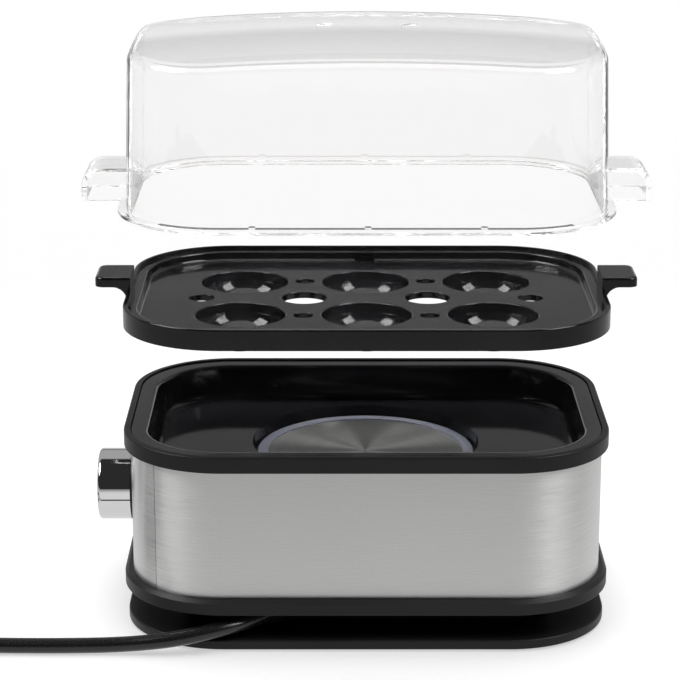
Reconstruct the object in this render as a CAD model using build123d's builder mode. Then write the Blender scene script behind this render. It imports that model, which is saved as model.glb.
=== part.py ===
"""An electric egg cooker: a steel-clad base with a heated water bowl, an egg tray and a clear lid.

Millimetres. +X runs to the right of the object, +Y to its back and +Z up. The origin is on the surface that
the object stands on, under the middle of the base. The egg tray and the clear lid are drawn lifted off,
one above the other. Both come straight down onto the base.
"""
from build123d import *
import os
from math import atan2, cos, degrees, hypot, pi, radians, sin, tan

os.makedirs("parts", exist_ok=True)

# Plan outline of the body. An inset is measured inward from the top frame's outer face.
frame_width = 221.0
frame_depth = 153.0
frame_corner = 46.0

# Heights of the layers of the base, from the standing surface up
foot_height = 1.0
bottom_plate_height = 4.4
neck_height = 12.4
rim_height = 6.9
band_show = 60.0
frame_height = 7.3

# Steel band and the grooves that hold it
band_inset = 3.0
band_wall = 0.6
band_tuck = 2.0
groove_play = 0.1
seam_width = 0.25

# Top frame
lip_width = 3.0
lip_height = 2.0
lip_round = 0.9
frame_ring_width = 7.5
skirt_wall = 2.0
skirt_drop = 6.0

# Water bowl
ledge_gap = 0.3
ledge_thickness = 1.3
bowl_inset = 11.3
bowl_depth = 16.7
bowl_draft = 4.0
bowl_wall = 1.8
bowl_floor_thickness = 2.0
bowl_top_round = 2.0
bowl_foot_round = 3.0
sump_depth = 5.6
sump_margin = 11.03
sump_slope = 1.5
sump_wall = 1.8

# Heating plate, seal and what presses them together
plate_margin = 4.5
plate_thickness = 1.2
plate_skirt = 10.4
plate_rise = 0.4
seal_cover = 3.4
seal_lap = 1.2
seal_lip = 0.7
seal_crown = 1.4
seal_under = 1.5
seal_waist = 1.5
clamp_overhang = 8.0
clamp_lap = 2.5
clamp_thickness = 1.2
clamp_bar_width = 14.0
clamp_boss_beyond = 4.0
clamp_boss_radius = 3.2
clamp_hole_depth = 9.0
clamp_screw_reach = 8.0
spreader_margin = 7.0
spreader_thickness = 2.0
spreader_play = 1.0
element_radius = 3.3
element_margin = 9.0
element_play = 0.05
element_gap_angle = 50.0
element_tail = 9.0
element_drop = 14.0
element_bend = 8.0
bead_radius = 3.6
bead_height = 4.0
terminal_radius = 1.5
terminal_height = 6.0
cutout_radius = 8.0
tab_rise = 1.5
tab_length = 5.0
tab_root = 3.0
fuse_radius = 2.0
fuse_length = 12.0
fuse_lead = 9.0
fuse_margin = 25.0
clip_wall = 0.8
clip_width = 5.0
clip_margin = 1.0

# Base tray: lower rim, floor, neck and bosses
rim_proud = 0.85
rim_chamfer = 1.5
rim_inner_inset = 6.0
tray_floor = 2.2
upstand_height = 7.3
upstand_wall = 2.0
neck_inset = 25.0
neck_wall = 2.4
post_inset = 8.5
post_radius = 3.5
boss_radius = 4.3
post_split_height = 52.0
lead_opening_width = 24.0
lead_opening_depth = 22.0

# Bottom plate and feet
plate_inset = 0.5
bottom_wall = 2.2
bottom_round = 0.8
foot_radius = 6.5
foot_end_margin = 28.5
foot_side_margin = 26.5
plate_screw_end_margin = 36.5
plate_screw_side_margin = 38.5
plate_boss_radius = 3.4

# Screws
screw_shank = 1.4
screw_head = 2.8
screw_head_height = 2.0
screw_play = 0.1
housing_screw_head = 3.0
housing_screw_length = 34.0
housing_head_depth = 12.0

# Knob and the rotary control behind it
knob_height = 53.0
knob_radius = 16.75
knob_length = 15.3
knob_wall = 1.7
knob_round = 1.8
knob_gap = 0.4
pointer_width = 1.2
pointer_length = 9.0
pointer_depth = 0.4
knob_ring_radius = 17.6
knob_ring_thickness = 2.1
shaft_radius = 3.0
shaft_play = 0.05
shaft_reach = 12.0
bush_radius = 4.7
bush_play = 0.4
bracket_gap = 3.4
bracket_thickness = 1.5
bracket_width = 32.0
bracket_height = 46.0
bracket_pad = 4.0
bracket_pad_radius = 3.6
bracket_foot = 17.0
bracket_screw_x = 11.0
bracket_screw_y = 10.0
control_depth = 20.0
control_width = 28.0
control_height = 26.0
control_bore_depth = 15.0
blade_length = 6.0
blade_width = 4.8
blade_thickness = 0.8
nut_radius = 6.9
nut_thickness = 2.4

# Egg tray, lifted off
tray_rest_top = 150.0
tray_inset = 1.0
tray_lip_width = 2.0
tray_skirt_wall = 2.2
tray_skirt_height = 9.5
tray_lip_round = 0.8
tray_ledge_drop = 1.6
tray_wall_inset = 7.4
tray_wall_thickness = 1.8
tray_wall_draft = 10.0
tray_deck_drop = 6.0
tray_deck_thickness = 2.2
tray_foot_round = 1.5
locating_inset = 12.0
locating_wall = 2.0
locating_drop = 12.7
tab_width = 9.5
tab_depth = 1.2
cup_pitch = 57.0
cup_radius = 20.5
cup_step_radius = 19.4
cup_step_drop = 4.5
cup_well_radius = 18.4
cup_floor_radius = 7.0
cup_depth = 13.0
cup_wall = 1.8
steam_hole_radius = 10.5
end_hole_radius = 6.0
end_hole_reach = 76.0
side_hole_radius = 4.5
side_hole_reach = 30.0
collar_height = 3.2
collar_wall = 1.6
hole_round = 0.7
handle_reach = 13.5
handle_root = 2.7
handle_top = 6.7
handle_thickness = 4.7
handle_width = 24.0
handle_corner = 4.0
handle_edge = 1.5
handle_neck_drop = 4.6

# Clear lid, lifted off
lid_rest_foot = 192.5
lid_flange_thickness = 2.2
lid_flange_round = 0.6
lid_wall_inset = 3.5
lid_wall = 2.2
lid_draft = 1.78
lid_tongue = 1.2
lid_height = 78.3
lid_round = 5.0
lid_round_inside = 3.0
lid_crown_long = 1120.0
lid_crown_short = 520.0
hood_end_play = 2.4
hood_root = 3.3
hood_side_play = 1.5
hood_wall = 2.0
hood_low = 0.8
hood_high = 15.4
hood_round = 8.0
hood_side_round = 2.5
vent_radius = 3.5
vent_reach = 19.0
pip_pitch = 49.6
pip_radius = 1.6

# How closely the lifted pieces sit when they come down
seat_gap = 0.3

# Mains cord, its way out of the neck and its far end
cord_diameter = 7.0
gland_heading = 45.0
gland_length = 24.0
gland_flange = 2.0
gland_flange_radius = 5.9
gland_radius = 5.0
gland_tip_radius = 4.3
gland_sleeve = 12.0
gland_sleeve_radius = 6.1
gland_groove = 0.5
gland_groove_width = 1.2
gland_end_margin = 66.0
gland_proud = 8.5
gland_level = 11.6
coil_beside = 185.5
coil_behind = 28.0
coil_middle_radius = 37.0
coil_turns = 3.25
coil_start_angle = -90.0
coil_pitch = 7.8
coil_clearance = 0.7
tie_angle = 205.0
tie_width = 4.0
tie_thickness = 0.6
tie_play = 0.1
plug_boot_length = 26.0
plug_boot_radius = 6.6
plug_boot_tip = 4.6
plug_axis_height = 7.2
plug_radius = 18.8
plug_height = 26.0
plug_round = 3.0
plug_groove_width = 5.0
plug_groove_depth = 2.6
plug_groove_height = 17.0
plug_face_depth = 1.2
plug_face_radius = 15.8
pin_radius = 2.4
pin_pitch = 19.0
pin_length = 19.0
pin_hold = 8.0
pin_round = 1.2
earth_hole_radius = 2.6
earth_hole_reach = 9.8
earth_hole_depth = 12.0
earth_clip_width = 4.0
earth_clip_thickness = 1.0
earth_clip_height = 12.0

# Leads inside the base
lead_rise = 14.0
lead_level_run = 11.0
lead_end_run = 10.0
wire_radius = 1.1
wire_stub = 10.0
wire_bow = 12.0
wire_sag = 5.0
blade_pitch = 8.0
block_x = 10.0
block_y = 4.0
block_length = 28.0
block_width = 15.0
block_height = 12.0
block_pitch = 8.5
block_screw_radius = 1.8
block_screw_depth = 5.0
cord_clamp_length = 8.0
cord_clamp_width = 15.0

# Levels and faces that follow from the sizes above
plate_low = foot_height
neck_low = plate_low + bottom_plate_height
rim_low = neck_low + neck_height
rim_high = rim_low + rim_height
floor_top = rim_low + tray_floor
band_low = rim_high - band_tuck
frame_low = rim_high + band_show
band_high = frame_low + band_tuck
frame_top = frame_low + frame_height
bowl_seat = frame_top - lip_height
ledge_top = bowl_seat + ledge_thickness
bowl_floor = ledge_top - bowl_depth
bowl_under = bowl_floor - bowl_floor_thickness
sump_floor = bowl_floor - sump_depth
sump_under = sump_floor - bowl_floor_thickness
plate_top = sump_floor + plate_rise
plate_under = plate_top - plate_thickness
clamp_top = plate_top - plate_skirt
clamp_low = clamp_top - clamp_thickness
spreader_low = plate_under - spreader_thickness
element_level = spreader_low - element_radius - element_play
bowl_foot_inset = bowl_inset + bowl_depth * tan(radians(bowl_draft))
sump_radius = frame_depth / 2 - bowl_foot_inset - sump_margin
sump_flat_radius = sump_radius - sump_slope
plate_radius = sump_flat_radius - plate_margin
seal_outer_radius = plate_radius + seal_cover
seal_inner_radius = plate_radius - seal_lap
clamp_outer_radius = sump_radius + clamp_overhang
clamp_inner_radius = plate_radius - clamp_lap
clamp_boss_reach = sump_radius + clamp_boss_beyond
spreader_radius = plate_radius - spreader_margin
spreader_hole = cutout_radius + spreader_play
element_reach = spreader_radius - element_margin
fuse_y = plate_radius - fuse_margin
band_face = frame_width / 2 - band_inset
band_inside = band_face - band_wall
corner_x = frame_width / 2 - frame_corner
corner_y = frame_depth / 2 - frame_corner
tray_top = tray_rest_top
tray_ledge = tray_top - tray_ledge_drop
tray_deck = tray_top - tray_deck_drop
lid_foot = lid_rest_foot
lid_top = lid_foot + lid_height
tray_travel = tray_top - tray_skirt_height - frame_top - seat_gap
lid_travel = lid_foot - tray_top - seat_gap
handle_tip = frame_width / 2 + handle_reach
handle_inner = frame_width / 2 - handle_root
hood_tip = handle_tip + hood_end_play + hood_wall
hood_start = frame_width / 2 - hood_root
hood_width = handle_width + 2 * (hood_side_play + hood_wall)
coil_low = cord_diameter / 2 + coil_clearance
layer_rise = coil_pitch
coil_inner = coil_middle_radius - coil_pitch * coil_turns / 4
cord_start = (
    -(frame_width / 2 - gland_end_margin),
    -(frame_depth / 2 - neck_inset + gland_proud),
    gland_level,
)
coil_x = cord_start[0] - coil_beside
coil_y = cord_start[1] + coil_behind
post_reach = frame_corner - post_inset
foot_spot_x = frame_width / 2 - foot_end_margin
foot_spot_y = frame_depth / 2 - foot_side_margin
plate_screw_x = frame_width / 2 - plate_screw_end_margin
plate_screw_y = frame_depth / 2 - plate_screw_side_margin
post_spots = [
    (sx * (corner_x + post_reach * cos(pi / 4)), sy * (corner_y + post_reach * sin(pi / 4)))
    for sx in (-1, 1)
    for sy in (-1, 1)
]
plate_screw_spots = [(sx * plate_screw_x, sy * plate_screw_y) for sx in (-1, 1) for sy in (-1, 1)]
foot_spots = [(sx * foot_spot_x, sy * foot_spot_y) for sx in (-1, 1) for sy in (-1, 1)]
clamp_spots = [
    (clamp_boss_reach * cos(radians(a)), clamp_boss_reach * sin(radians(a))) for a in (30, 150, 270)
]
cup_spots = [(cup_pitch * column, cup_pitch * row) for column in (-1, 0, 1) for row in (-0.5, 0.5)]
steam_spots = [(-cup_pitch / 2, 0), (cup_pitch / 2, 0)]
end_spots = [(-end_hole_reach, 0), (end_hole_reach, 0)]
side_spots = [(sx * cup_pitch / 2, sy * side_hole_reach) for sx in (-1, 1) for sy in (-1, 1)]


def plan(inset, mode=Mode.ADD):
    """Draws the body's plan outline, drawn in by an inset."""
    RectangleRounded(frame_width - 2 * inset, frame_depth - 2 * inset, frame_corner - inset, mode=mode)


def wall(outer_inset, inner_inset, low, high, mode=Mode.ADD):
    """Raises a wall that follows the plan outline between two insets."""
    with BuildSketch(Plane.XY.offset(low)) as section:
        plan(outer_inset)
        plan(inner_inset, Mode.SUBTRACT)
    extrude(section.sketch, amount=high - low, mode=mode)


def slab(inset, low, high, mode=Mode.ADD):
    """Raises a solid slab with the plan outline."""
    with BuildSketch(Plane.XY.offset(low)) as section:
        plan(inset)
    extrude(section.sketch, amount=high - low, mode=mode)


def tapered_slab(low_inset, low, high_inset, high, mode=Mode.ADD):
    """Raises a slab whose inset changes evenly between its two levels."""
    with BuildSketch(Plane.XY.offset(low)) as bottom:
        plan(low_inset)
    with BuildSketch(Plane.XY.offset(high)) as top:
        plan(high_inset)
    loft([bottom.sketch.face(), top.sketch.face()], ruled=True, mode=mode)


def rounds(radius, spots, low, high, mode=Mode.ADD):
    """Raises a round post, or cuts a round hole, at each spot."""
    with BuildSketch(Plane.XY.offset(low)) as section:
        with Locations(*spots):
            Circle(radius)
    extrude(section.sketch, amount=high - low, mode=mode)


def turned(points, mode=Mode.ADD):
    """Turns a profile of radius and height round the Z axis."""
    with BuildSketch(Plane.XZ) as section:
        with BuildLine():
            Polyline(*points, close=True)
        make_face()
    revolve(section.sketch, axis=Axis.Z, mode=mode)


def inset_of(point):
    """How far inside the body's plan outline a point lies."""
    dx = abs(point.X) - corner_x
    dy = abs(point.Y) - corner_y
    if dx > 0 and dy > 0:
        return frame_corner - hypot(dx, dy)
    return min(frame_width / 2 - abs(point.X), frame_depth / 2 - abs(point.Y))


def outline_edges(piece, inset, level):
    """The edges of a piece that follow the plan outline at one inset and one level."""
    return piece.edges().filter_by(
        lambda e: abs((e @ 0.5).Z - level) < 0.01 and abs(inset_of(e @ 0.5) - inset) < 0.02
    )


def corner_radii(points):
    """The largest even bend at each corner of a route, from its runs and turns."""
    radii = []
    for a, b, c in zip(points, points[1:], points[2:]):
        first = Vector(*b) - Vector(*a)
        second = Vector(*c) - Vector(*b)
        half_turn = radians(first.get_angle(second)) / 2
        radii.append(0.45 * min(first.length, second.length) / tan(half_turn))
    return radii


def tube(points, radius):
    """Sweeps a round tube along straight runs and tangent bends, and returns its path."""
    with BuildLine() as route:
        FilletPolyline(*points, radius=corner_radii(points))
    path = route.wire()
    with BuildSketch(Plane(origin=path @ 0, z_dir=path % 0)) as section:
        Circle(radius)
    sweep(section.sketch, path=path)
    return path


def on_plan(start, heading, distance):
    """A point at a distance from another, along a heading measured in plan from -X towards -Y."""
    angle = radians(heading)
    return (start[0] - distance * cos(angle), start[1] - distance * sin(angle), start[2])


def axis_plane(start, heading):
    """A plane square to a level line, whose normal runs along a heading from -X towards -Y."""
    angle = radians(heading)
    return Plane(origin=start, x_dir=(0, 0, 1), z_dir=(-cos(angle), -sin(angle), 0))


def inward(start, distance, rise=0.0):
    """A point further into the housing along the strain relief's axis."""
    x, y, z = on_plan(start, gland_heading, -distance)
    return (x, y, z + rise)


def toward(start, end, share, side=0.0, rise=0.0):
    """A point at a share of the way between two others, moved to the back and up."""
    x, y, z = (a + (b - a) * share for a, b in zip(start, end))
    return (x, y + side, z + rise)


# Steel band with one butt seam
with BuildPart() as steel_band:
    wall(band_inset, band_inset + band_wall, band_low, band_high)
    with Locations(Location((-band_face, 0, knob_height), (0, 90, 0))):
        Cylinder(bush_radius + bush_play, 4 * band_wall, mode=Mode.SUBTRACT)
    seam_reach = frame_corner - band_inset - band_wall / 2
    seam_x = -corner_x - seam_reach * cos(pi / 4)
    seam_y = -corner_y - seam_reach * sin(pi / 4)
    with Locations(Location((seam_x, seam_y, (band_low + band_high) / 2), (0, 0, 45))):
        Box(4 * band_wall, seam_width, band_high - band_low, mode=Mode.SUBTRACT)
steel_band.part.label = "steel_band"

# Top frame: outer lip, bowl seat, band groove, inner skirt and screw posts
with BuildPart() as top_frame:
    wall(0, frame_ring_width, frame_low, bowl_seat)
    wall(0, lip_width, bowl_seat, frame_top)
    wall(frame_ring_width - skirt_wall, frame_ring_width, frame_low - skirt_drop, frame_low)
    rounds(post_radius, post_spots, post_split_height, frame_low)
    slab(bowl_inset - bowl_wall - seat_gap, bowl_under - seat_gap, frame_low, Mode.SUBTRACT)
    wall(
        band_inset - groove_play,
        band_inset + band_wall + groove_play,
        frame_low,
        band_high,
        Mode.SUBTRACT,
    )
    rounds(screw_shank, post_spots, post_split_height, post_split_height + 16, Mode.SUBTRACT)
    fillet(outline_edges(top_frame.part, 0, frame_top), lip_round)
    fillet(outline_edges(top_frame.part, lip_width, frame_top), lip_round / 3)
top_frame.part.label = "top_frame"

# Water bowl: ledge, drafted wall, flat floor and the round sump that the plate lies in
with BuildPart() as water_bowl:
    wall(lip_width + ledge_gap, bowl_inset, bowl_seat, ledge_top)
    tapered_slab(bowl_foot_inset - bowl_wall, bowl_under, bowl_inset - bowl_wall, ledge_top)
    tapered_slab(bowl_foot_inset, bowl_floor, bowl_inset, ledge_top, Mode.SUBTRACT)
    turned(
        [
            (0, sump_under),
            (sump_flat_radius + sump_wall, sump_under),
            (sump_radius + sump_wall, bowl_under),
            (0, bowl_under),
        ]
    )
    turned(
        [(0, sump_floor), (sump_flat_radius, sump_floor), (sump_radius, bowl_floor), (0, bowl_floor)],
        Mode.SUBTRACT,
    )
    rounds(clamp_boss_radius, clamp_spots, clamp_top, bowl_under)
    rounds(screw_shank + screw_play, clamp_spots, clamp_top, clamp_top + clamp_hole_depth, Mode.SUBTRACT)
    rounds(plate_radius + seal_waist, [(0, 0)], sump_under, sump_floor, Mode.SUBTRACT)
    fillet(outline_edges(water_bowl.part, bowl_foot_inset, bowl_floor), bowl_foot_round)
    fillet(outline_edges(water_bowl.part, bowl_inset, ledge_top), bowl_top_round)
    fillet(outline_edges(water_bowl.part, lip_width + ledge_gap, ledge_top), ledge_thickness / 3)
water_bowl.part.label = "water_bowl"

# Heating plate: a shallow steel pan, upside down
with BuildPart() as heating_plate:
    rounds(plate_radius, [(0, 0)], clamp_top, plate_top)
    rounds(plate_radius - plate_thickness, [(0, 0)], clamp_top, plate_under, Mode.SUBTRACT)
    fillet(heating_plate.edges().group_by(Axis.Z)[-1], plate_thickness / 3)
heating_plate.part.label = "heating_plate"

# Seal: a ring that grips the sump's edge and laps over the plate's edge
seal_low = sump_under - seal_under
with BuildPart() as plate_seal:
    with BuildSketch(Plane.XZ):
        with BuildLine():
            crown = ThreePointArc(
                (seal_inner_radius, plate_top + seal_lip),
                ((seal_inner_radius + seal_outer_radius) / 2, sump_floor + seal_crown),
                (seal_outer_radius, plate_top + seal_lip),
            )
            Polyline(
                crown @ 1,
                (seal_outer_radius, sump_floor),
                (plate_radius + seal_waist, sump_floor),
                (plate_radius + seal_waist, sump_under),
                (seal_outer_radius, sump_under),
                (seal_outer_radius, seal_low),
                (plate_radius, seal_low),
                (plate_radius, plate_top),
                (seal_inner_radius, plate_top),
                crown @ 0,
            )
        make_face()
    revolve(axis=Axis.Z)
plate_seal.part.label = "plate_seal"

# Plate clamp: a ring and a cross bar, screwed to the bowl's bosses
with BuildPart() as plate_clamp:
    with BuildSketch(Plane.XY.offset(clamp_low)):
        Circle(clamp_outer_radius)
        Circle(clamp_inner_radius, mode=Mode.SUBTRACT)
        Rectangle(clamp_bar_width, 2 * clamp_inner_radius + 2)
        with Locations(*clamp_spots):
            Circle(screw_shank + screw_play, mode=Mode.SUBTRACT)
    extrude(amount=clamp_thickness)
plate_clamp.part.label = "plate_clamp"

with BuildPart() as clamp_screws:
    rounds(screw_head, clamp_spots, clamp_low - screw_head_height, clamp_low)
    rounds(screw_shank, clamp_spots, clamp_low, clamp_top + clamp_screw_reach)
    fillet(clamp_screws.edges().group_by(Axis.Z)[0], screw_head_height / 3)
clamp_screws.part.label = "clamp_screws"

# Spreader and tubular element under the plate
with BuildPart() as heat_spreader:
    with BuildSketch(Plane.XY.offset(spreader_low)):
        Circle(spreader_radius)
        Circle(spreader_hole, mode=Mode.SUBTRACT)
    extrude(amount=spreader_thickness)
heat_spreader.part.label = "heat_spreader"

tail_angles = (180 - element_gap_angle / 2, 180 + element_gap_angle / 2)
element_ends = []
with BuildPart() as heating_element:
    with BuildLine() as element_path:
        start_angle = tail_angles[1]
        sweep_angle = 360 - element_gap_angle
        ring_arc = CenterArc((0, 0, element_level), element_reach, start_angle, sweep_angle)
        for end, sense in ((ring_arc @ 1, ring_arc % 1), (ring_arc @ 0, -(ring_arc % 0))):
            knee = end + sense * element_tail
            foot = knee - Vector(0, 0, element_drop)
            FilletPolyline(end, knee, foot, radius=element_bend)
            element_ends.append(foot)
    first_end = element_ends[1]
    with BuildSketch(Plane(origin=first_end, z_dir=(0, 0, 1))):
        Circle(element_radius)
    sweep(path=element_path.wire())
heating_element.part.label = "heating_element"

with BuildPart() as element_terminals:
    for foot in element_ends:
        with Locations(foot - Vector(0, 0, bead_height / 2)):
            Cylinder(bead_radius, bead_height)
        with Locations(foot - Vector(0, 0, bead_height + terminal_height / 2)):
            Cylinder(terminal_radius, terminal_height)
element_terminals.part.label = "element_terminals"

# Boil-dry cut-out, held against the plate by the cross bar
with BuildPart() as boil_dry_cutout:
    rounds(cutout_radius, [(0, 0)], clamp_top, plate_under)
    tab_middle = cutout_radius + (tab_length - tab_root) / 2
    with Locations(*[(side * tab_middle, 0, clamp_top + tab_rise) for side in (-1, 1)]):
        Box(tab_length + tab_root, blade_width, blade_thickness)
    fillet(boil_dry_cutout.faces().sort_by(Axis.Z)[-1].edges(), 0.5)
boil_dry_cutout.part.label = "boil_dry_cutout"

# Thermal fuse under the cross bar, with its clip
fuse_level = clamp_low - fuse_radius - clip_wall
with BuildPart() as thermal_fuse:
    with Locations(Location((0, fuse_y, fuse_level), (90, 0, 0))):
        Cylinder(fuse_radius, fuse_length)
        Cylinder(fuse_radius / 4, fuse_length + 2 * fuse_lead)
thermal_fuse.part.label = "thermal_fuse"

with BuildPart() as fuse_clip:
    with BuildSketch(Plane.XZ.offset(-fuse_y - clip_width / 2)):
        with Locations((0, fuse_level)):
            Circle(fuse_radius + clip_wall)
        with Locations((0, clamp_low - clip_wall / 2)):
            Rectangle(clamp_bar_width - 2 * clip_margin, clip_wall)
        with Locations((0, fuse_level)):
            Circle(fuse_radius, mode=Mode.SUBTRACT)
        with Locations((0, clamp_low + clamp_bar_width / 2)):
            Rectangle(clamp_bar_width, clamp_bar_width, mode=Mode.SUBTRACT)
    extrude(amount=clip_width)
fuse_clip.part.label = "fuse_clip"

# Base tray: lower rim, floor, neck, band groove, screw bosses and the sleeve of the strain relief
gland_start = on_plan(cord_start, gland_heading, -gland_length)
sleeve_plane = axis_plane(on_plan(gland_start, gland_heading, gland_flange), gland_heading)
lead_bend_low = inward(gland_start, lead_level_run)
lead_bend_high = inward(lead_bend_low, lead_rise, lead_rise)
lead_opening_x, lead_opening_y, _ = toward(lead_bend_low, lead_bend_high, 0.5)
bracket_face = band_inside - bracket_gap
bracket_level = floor_top + bracket_pad
bracket_screw_spots = [
    (-bracket_face + bracket_screw_x, bracket_screw_y),
    (-bracket_face + bracket_screw_x, -bracket_screw_y),
]
with BuildPart() as base_tray:
    slab(rim_inner_inset, rim_low, floor_top)
    wall(-rim_proud, rim_inner_inset, rim_low, band_low)
    wall(-rim_proud, band_inset - groove_play, band_low, rim_high)
    wall(
        band_inset + band_wall + groove_play,
        band_inset + band_wall + groove_play + upstand_wall,
        band_low,
        band_low + upstand_height,
    )
    wall(neck_inset, neck_inset + neck_wall, neck_low, rim_low)
    rounds(boss_radius, post_spots, floor_top, post_split_height)
    rounds(plate_boss_radius, plate_screw_spots, neck_low, rim_low)
    rounds(bracket_pad_radius, bracket_screw_spots, floor_top, bracket_level)
    with BuildSketch(sleeve_plane):
        Circle(gland_sleeve_radius)
    extrude(amount=gland_sleeve)
    with BuildSketch(sleeve_plane):
        Circle(gland_radius)
    extrude(amount=gland_length - gland_flange, mode=Mode.SUBTRACT)
    rounds(screw_shank + screw_play, post_spots, rim_low, post_split_height, Mode.SUBTRACT)
    rounds(housing_screw_head + screw_play, post_spots, rim_low, rim_low + housing_head_depth, Mode.SUBTRACT)
    rounds(screw_shank, plate_screw_spots, neck_low, floor_top - 1, Mode.SUBTRACT)
    rounds(screw_shank, bracket_screw_spots, rim_low + 1, bracket_level, Mode.SUBTRACT)
    with Locations((lead_opening_x, lead_opening_y, (rim_low + floor_top) / 2)):
        Box(lead_opening_width, lead_opening_depth, tray_floor, mode=Mode.SUBTRACT)
    chamfer(outline_edges(base_tray.part, -rim_proud, rim_high), rim_chamfer)
    fillet(outline_edges(base_tray.part, -rim_proud, rim_low), rim_chamfer / 3)
base_tray.part.label = "base_tray"

# Screws from the base tray up into the posts of the top frame
with BuildPart() as housing_screws:
    head_top = rim_low + housing_head_depth
    rounds(housing_screw_head, post_spots, head_top - screw_head_height, head_top)
    rounds(screw_shank, post_spots, head_top, head_top + housing_screw_length)
housing_screws.part.label = "housing_screws"

# Bottom plate: the wide foot under the neck, hollow below
with BuildPart() as bottom_plate:
    slab(plate_inset, plate_low, neck_low)
    slab(plate_inset + bottom_wall, plate_low, neck_low - bottom_wall, Mode.SUBTRACT)
    rounds(screw_shank + screw_play, plate_screw_spots, neck_low - bottom_wall, neck_low, Mode.SUBTRACT)
    fillet(outline_edges(bottom_plate.part, plate_inset, neck_low), bottom_round)
    fillet(outline_edges(bottom_plate.part, plate_inset, plate_low), bottom_round / 2)
bottom_plate.part.label = "bottom_plate"

with BuildPart() as plate_screws:
    head_level = neck_low - bottom_wall
    rounds(screw_head, plate_screw_spots, head_level - screw_head_height + 0.5, head_level)
    rounds(screw_shank, plate_screw_spots, head_level, rim_low - 2)
plate_screws.part.label = "plate_screws"

with BuildPart() as rubber_feet:
    rounds(foot_radius, foot_spots, 0, neck_low - bottom_wall)
    fillet(rubber_feet.edges().group_by(Axis.Z)[0], foot_height / 2)
rubber_feet.part.label = "rubber_feet"

# Rotary control on its bracket
bracket_x = -bracket_face
control_face = bracket_x + bracket_thickness
with BuildPart() as control_bracket:
    with Locations((bracket_x + bracket_thickness / 2, 0, bracket_level + bracket_height / 2)):
        Box(bracket_thickness, bracket_width, bracket_height)
    with Locations((bracket_x + bracket_foot / 2, 0, bracket_level + bracket_thickness / 2)):
        Box(bracket_foot, bracket_width, bracket_thickness)
    with Locations(Location((bracket_x, 0, knob_height), (0, 90, 0))):
        Cylinder(bush_radius + screw_play, 4 * bracket_thickness, mode=Mode.SUBTRACT)
    rounds(
        screw_shank + screw_play,
        bracket_screw_spots,
        bracket_level,
        bracket_level + bracket_thickness,
        Mode.SUBTRACT,
    )
control_bracket.part.label = "control_bracket"

with BuildPart() as bracket_screws:
    head_level = bracket_level + bracket_thickness
    rounds(screw_head, bracket_screw_spots, head_level, head_level + screw_head_height)
    rounds(screw_shank, bracket_screw_spots, floor_top, head_level)
bracket_screws.part.label = "bracket_screws"

bush_tip = -band_face - knob_ring_thickness + 0.2
with BuildPart() as rotary_control:
    with Locations((control_face + control_depth / 2, 0, knob_height)):
        Box(control_depth, control_width, control_height)
    fillet(rotary_control.edges().filter_by(Axis.X), 2)
    with BuildSketch(Plane.YZ.offset(bush_tip)):
        with Locations((0, knob_height)):
            Circle(bush_radius)
    extrude(amount=control_face - bush_tip)
    with BuildSketch(Plane.YZ.offset(bush_tip)):
        with Locations((0, knob_height)):
            Circle(shaft_radius + shaft_play)
    extrude(amount=control_face - bush_tip + control_bore_depth, mode=Mode.SUBTRACT)
    with Locations((control_face + control_depth + blade_length / 2, 0, knob_height)):
        with GridLocations(0, blade_pitch, 1, 3):
            Box(blade_length, blade_thickness, blade_width)
rotary_control.part.label = "rotary_control"

with BuildPart() as bush_nut:
    with BuildSketch(Plane.YZ.offset(bracket_x - nut_thickness)):
        with Locations((0, knob_height)):
            RegularPolygon(nut_radius, 6)
            Circle(bush_radius + shaft_play, mode=Mode.SUBTRACT)
    extrude(amount=nut_thickness)
bush_nut.part.label = "bush_nut"

# Black ring behind the knob
with BuildPart() as knob_ring:
    with BuildSketch(Plane.YZ.offset(-band_face - knob_ring_thickness)):
        with Locations((0, knob_height)):
            Circle(knob_ring_radius)
            Circle(bush_radius + bush_play, mode=Mode.SUBTRACT)
    extrude(amount=knob_ring_thickness)
    fillet(knob_ring.faces().sort_by(Axis.X)[0].outer_wire().edges(), knob_ring_thickness / 4)
knob_ring.part.label = "knob_ring"

# Knob: chrome shell, core and shaft, which turn together
knob_back = -band_face - knob_ring_thickness - knob_gap
knob_front = knob_back - knob_length
with BuildPart() as knob_shell:
    with BuildSketch(Plane.YZ.offset(knob_front)):
        with Locations((0, knob_height)):
            Circle(knob_radius)
    extrude(amount=knob_length)
    with BuildSketch(Plane.YZ.offset(knob_front + knob_wall)):
        with Locations((0, knob_height)):
            Circle(knob_radius - knob_wall)
    extrude(amount=knob_length - knob_wall, mode=Mode.SUBTRACT)
    fillet(knob_shell.faces().sort_by(Axis.X)[0].edges(), knob_round)
    with Locations((knob_front, 0, knob_height + knob_radius - knob_round - pointer_length / 2)):
        Box(2 * pointer_depth, pointer_width, pointer_length, mode=Mode.SUBTRACT)
knob_shell.part.label = "knob_shell"

with BuildPart() as knob_core:
    with BuildSketch(Plane.YZ.offset(knob_front + knob_wall)):
        with Locations((0, knob_height)):
            Circle(knob_radius - knob_wall - screw_play / 2)
            Circle(shaft_radius, mode=Mode.SUBTRACT)
    extrude(amount=knob_length - knob_wall - 0.4)
knob_core.part.label = "knob_core"

with BuildPart() as control_shaft:
    with BuildSketch(Plane.YZ.offset(knob_front + knob_wall)):
        with Locations((0, knob_height)):
            Circle(shaft_radius)
    extrude(amount=control_face + shaft_reach - knob_front - knob_wall)
control_shaft.part.label = "control_shaft"


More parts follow.
